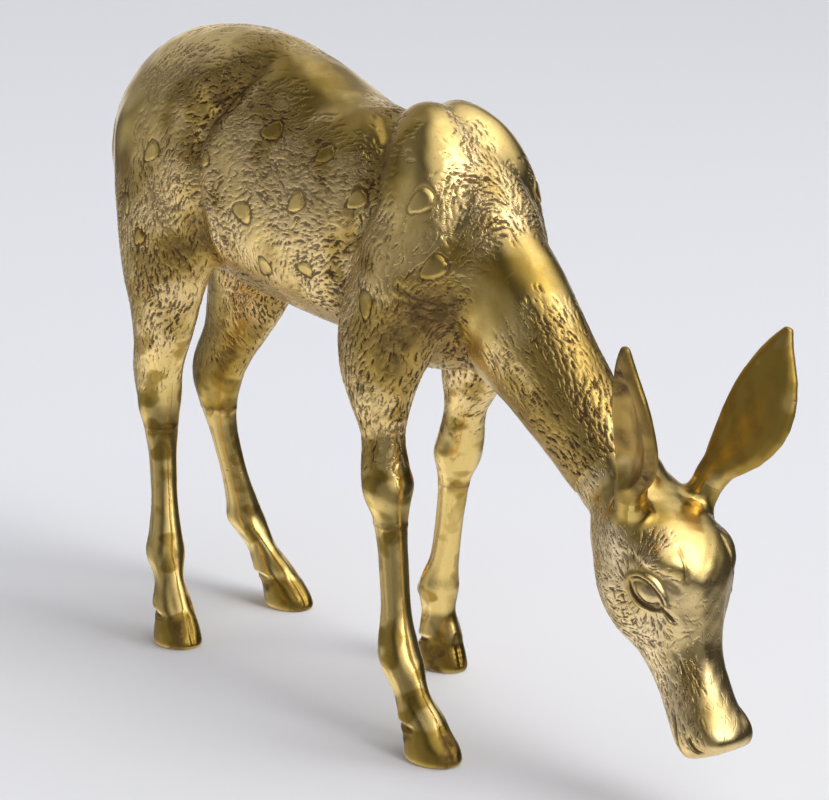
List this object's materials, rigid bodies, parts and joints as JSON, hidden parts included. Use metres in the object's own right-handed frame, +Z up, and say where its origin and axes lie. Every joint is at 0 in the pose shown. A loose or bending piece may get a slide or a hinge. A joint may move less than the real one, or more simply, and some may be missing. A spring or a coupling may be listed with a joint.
{
  "type": "animal statuette",
  "caption": "Cast grazing doe statuette, head lowered to the ground, with upright leaf-shaped ears, slim striding legs and chased fur with oval spots.",
  "frame": {"origin": "on the ground, midway along the length and across the width of the whole figure", "axes": "+X forward, towards the nose; +Y to the doe's left; +Z up"},
  "size_m": [0.3946, 0.0929, 0.2751],
  "materials": {
    "brass_cast": "cast and chased, brown patina in the strokes, high points polished",
    "brass_polished": "hand polished, lightly pitted",
    "dowel_rod": "drawn rod, as cut",
    "braze_filler": "filed filler metal, slightly redder than the castings"
  },
  "bodies": {
    "root": {"torso_left_shell": "brass_cast", "torso_right_shell": "brass_cast", "neck_shell": "brass_cast", "head_shell": "brass_cast", "left_ear": "brass_polished", "right_ear": "brass_polished", "tail": "brass_cast", "front_left_upper_leg": "brass_cast", "front_right_upper_leg": "brass_cast", "hind_left_upper_leg": "brass_cast", "hind_right_upper_leg": "brass_cast", "front_left_lower_leg": "brass_polished", "front_right_lower_leg": "brass_polished", "hind_left_lower_leg": "brass_polished", "hind_right_lower_leg": "brass_polished", "shoulder_dowels": "dowel_rod", "hip_dowels": "dowel_rod", "knee_dowels": "dowel_rod", "hock_dowels": "dowel_rod", "ear_pins": "dowel_rod", "neck_braze": "braze_filler", "head_braze": "braze_filler", "shoulder_brazes": "braze_filler", "hip_brazes": "braze_filler", "knee_brazes": "braze_filler", "hock_brazes": "braze_filler"}
  },
  "joints": []
}
